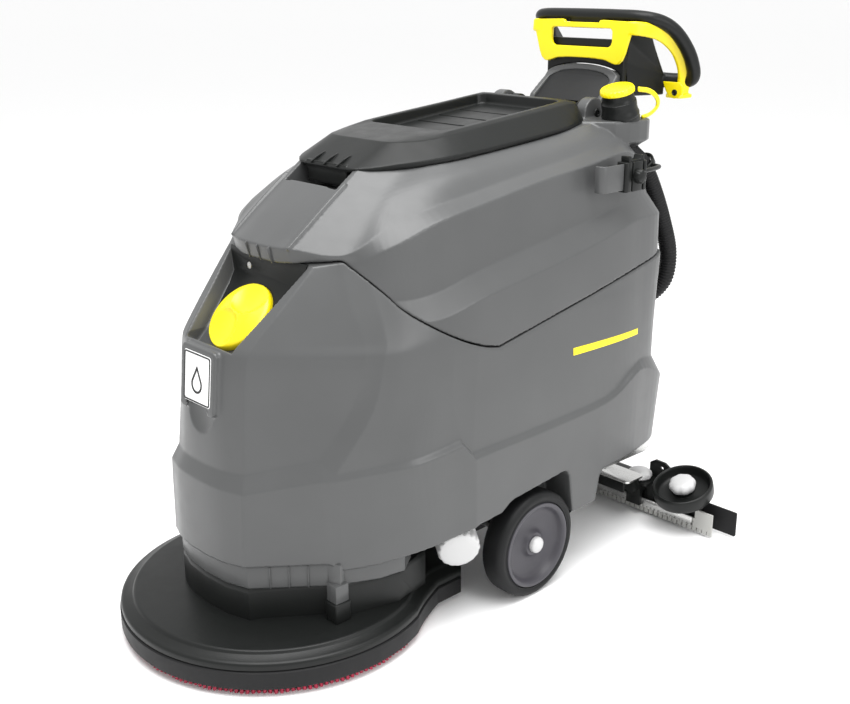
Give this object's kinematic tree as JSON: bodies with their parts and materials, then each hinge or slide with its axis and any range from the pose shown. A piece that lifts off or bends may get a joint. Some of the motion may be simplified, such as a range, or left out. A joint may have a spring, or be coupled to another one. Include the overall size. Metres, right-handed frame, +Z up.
{
  "type": "floor scrubber machine",
  "caption": "Walk-behind scrubber-drier with a round brush deck, a tank that tilts over a water tank, drive wheels, a bail handle, a drain hose and a wide suction squeegee.",
  "frame": {"origin": "on the floor under the middle of the bounding box", "axes": "+Z up, -Y forwards to the brush, +X the side with the drain hose and the filter cap"},
  "size_m": [0.856, 1.2254, 1.0239],
  "materials": {
    "body_grey": "satin moulded polyethylene",
    "black_plastic": "fine-textured moulded plastic",
    "dark_plastic": "satin moulded plastic",
    "yellow_plastic": "smooth moulded plastic",
    "white_plastic": "smooth moulded plastic",
    "badge_face": "smooth plate",
    "black_rubber": "matte",
    "tyre_rubber": "matte",
    "blade_rubber": "smooth natural-coloured rubber",
    "rim_plastic": "satin moulded plastic",
    "bristle_red": "nylon filament",
    "steel": "brushed stainless steel",
    "frame_paint": "powder coat",
    "hose_black": "ribbed"
  },
  "bodies": {
    "chassis": {"lower_tank": "body_grey", "base_flange": "body_grey", "badge_plate": "badge_face", "fill_recess_panel": "black_plastic", "brush_deck": "black_plastic", "splash_skirt": "black_rubber", "chassis_frame": "frame_paint", "brush_motor": "dark_plastic", "battery_left": "dark_plastic", "battery_right": "dark_plastic", "wheel_axle": "steel", "filter_housing": "black_plastic", "tank_hinge": "frame_paint", "suction_port": "black_plastic", "squeegee_spindle": "steel"},
    "brush": {"brush_plate": "black_plastic", "brush_bristles": "bristle_red"},
    "fill_cap": {"fill_cap": "yellow_plastic"},
    "filter_cap": {"filter_cap": "white_plastic"},
    "dirty_water_tank": {"recovery_tank": "body_grey", "suction_turbine": "dark_plastic", "drain_neck": "black_plastic", "cap_strap": "yellow_plastic", "drain_hose": "hose_black", "hose_clip": "black_plastic", "accessory_rail": "dark_plastic", "rail_clamp": "black_plastic", "lid_hinge_pin": "steel", "console_housing": "body_grey", "console_insert": "dark_plastic", "control_panel": "black_plastic", "handle_frame": "black_plastic"},
    "lid": {"tank_lid": "black_plastic"},
    "drain_cap": {"drain_cap": "yellow_plastic"},
    "drive_lever": {"drive_lever": "yellow_plastic"},
    "control_knob": {"control_knob": "yellow_plastic"},
    "squeegee": {"squeegee_arm": "frame_paint", "squeegee_beam": "black_plastic", "squeegee_carrier": "steel", "front_blade": "blade_rubber", "blade_clamp_strip": "steel", "rear_blade": "black_rubber", "suction_hose": "hose_black"},
    "lift_lever": {"lift_lever": "black_plastic"},
    "wheel_left": {"wheel_tyre_left": "tyre_rubber", "wheel_rim_left": "rim_plastic", "wheel_cap_left": "white_plastic"},
    "caster_left": {"caster_fork_left": "steel"},
    "caster_wheel_left": {"caster_wheel_left": "black_plastic"},
    "guard_roller_left": {"guard_roller_left": "black_plastic"},
    "roller_knob_left": {"roller_knob_left": "white_plastic"},
    "squeegee_knob_left": {"squeegee_knob_left": "white_plastic"},
    "wheel_right": {"wheel_tyre_right": "tyre_rubber", "wheel_rim_right": "rim_plastic", "wheel_cap_right": "white_plastic"},
    "caster_right": {"caster_fork_right": "steel"},
    "caster_wheel_right": {"caster_wheel_right": "black_plastic"},
    "guard_roller_right": {"guard_roller_right": "black_plastic"},
    "roller_knob_right": {"roller_knob_right": "white_plastic"},
    "squeegee_knob_right": {"squeegee_knob_right": "white_plastic"}
  },
  "joints": [
    {"name": "brush_spin", "type": "hinge", "parent": "chassis", "child": "brush", "pos_m": [0, -0.3382, 0.039], "axis": [0, 0, 1], "continuous": true},
    {"name": "wheel_spin_left", "type": "hinge", "parent": "chassis", "child": "wheel_left", "pos_m": [0.266, 0.0273, 0.1], "axis": [1, 0, 0], "continuous": true},
    {"name": "caster_swivel_left", "type": "hinge", "parent": "chassis", "child": "caster_left", "pos_m": [0.112, 0.2938, 0.098], "axis": [0, 0, 1], "continuous": true},
    {"name": "caster_spin_left", "type": "hinge", "parent": "caster_left", "child": "caster_wheel_left", "pos_m": [0.112, 0.3158, 0.036], "axis": [1, 0, 0], "continuous": true},
    {"name": "wheel_spin_right", "type": "hinge", "parent": "chassis", "child": "wheel_right", "pos_m": [-0.266, 0.0273, 0.1], "axis": [1, 0, 0], "continuous": true},
    {"name": "caster_swivel_right", "type": "hinge", "parent": "chassis", "child": "caster_right", "pos_m": [-0.112, 0.2938, 0.098], "axis": [0, 0, 1], "continuous": true},
    {"name": "caster_spin_right", "type": "hinge", "parent": "caster_right", "child": "caster_wheel_right", "pos_m": [-0.112, 0.3158, 0.036], "axis": [1, 0, 0], "continuous": true},
    {"name": "fill_cap_turn", "type": "hinge", "parent": "chassis", "child": "fill_cap", "pos_m": [0, -0.3812, 0.547], "axis": [0, -0.7071, 0.7071], "range_deg": [0, 90]},
    {"name": "filter_cap_turn", "type": "hinge", "parent": "chassis", "child": "filter_cap", "pos_m": [0.23, -0.1252, 0.152], "axis": [0.8197, -0.4998, -0.2799], "range_deg": [0, 90]},
    {"name": "tank_tilt", "type": "hinge", "parent": "chassis", "child": "dirty_water_tank", "pos_m": [0, 0.4758, 0.577], "axis": [-1, 0, 0], "range_deg": [0, 55], "deforming": ["drain_hose"]},
    {"name": "lid_open", "type": "hinge", "parent": "dirty_water_tank", "child": "lid", "pos_m": [0, 0.3648, 0.836], "axis": [-1, 0, 0], "range_deg": [0, 70]},
    {"name": "drain_cap_pull", "type": "slide", "parent": "dirty_water_tank", "child": "drain_cap", "axis": [0, -0.2873, 0.9578], "range_m": [0, 0.016], "deforming": ["cap_strap"]},
    {"name": "drive_lever_pull", "type": "hinge", "parent": "dirty_water_tank", "child": "drive_lever", "pos_m": [0, 0.5918, 0.872], "axis": [-1, 0, 0], "range_deg": [0, 2.5], "stiffness_Nm_per_rad": 30, "springref_deg": -2.86},
    {"name": "control_knob_turn", "type": "hinge", "parent": "dirty_water_tank", "child": "control_knob", "pos_m": [0.036, 0.4958, 0.868], "axis": [0, 1, 0], "range_deg": [-120, 120]},
    {"name": "squeegee_lift", "type": "hinge", "parent": "chassis", "child": "squeegee", "pos_m": [0, 0.2078, 0.152], "axis": [1, 0, 0], "range_deg": [0, 9], "deforming": ["suction_hose"]},
    {"name": "lift_lever_turn", "type": "hinge", "parent": "chassis", "child": "lift_lever", "pos_m": [-0.124, 0.4878, 0.42], "axis": [-1, 0, 0], "range_deg": [0, 60]},
    {"name": "squeegee_knob_turn_left", "type": "hinge", "parent": "squeegee", "child": "squeegee_knob_left", "pos_m": [0.208, 0.4498, 0.08], "axis": [0, 0, 1], "range_deg": [0, 360]},
    {"name": "guard_roller_spin_left", "type": "hinge", "parent": "squeegee", "child": "guard_roller_left", "pos_m": [0.322, 0.4378, 0.101], "axis": [0, -0.3387, 0.9409], "continuous": true},
    {"name": "roller_knob_turn_left", "type": "hinge", "parent": "squeegee", "child": "roller_knob_left", "pos_m": [0.322, 0.4378, 0.101], "axis": [0, -0.3387, 0.9409], "range_deg": [0, 360]},
    {"name": "squeegee_knob_turn_right", "type": "hinge", "parent": "squeegee", "child": "squeegee_knob_right", "pos_m": [-0.208, 0.4498, 0.08], "axis": [0, 0, 1], "range_deg": [0, 360]},
    {"name": "guard_roller_spin_right", "type": "hinge", "parent": "squeegee", "child": "guard_roller_right", "pos_m": [-0.322, 0.4378, 0.101], "axis": [0, -0.3387, 0.9409], "continuous": true},
    {"name": "roller_knob_turn_right", "type": "hinge", "parent": "squeegee", "child": "roller_knob_right", "pos_m": [-0.322, 0.4378, 0.101], "axis": [0, -0.3387, 0.9409], "range_deg": [0, 360]}
  ],
  "couplings": [
    {"joint": "lift_lever_turn", "follows": "squeegee_lift", "ratio": 6.6}
  ]
}
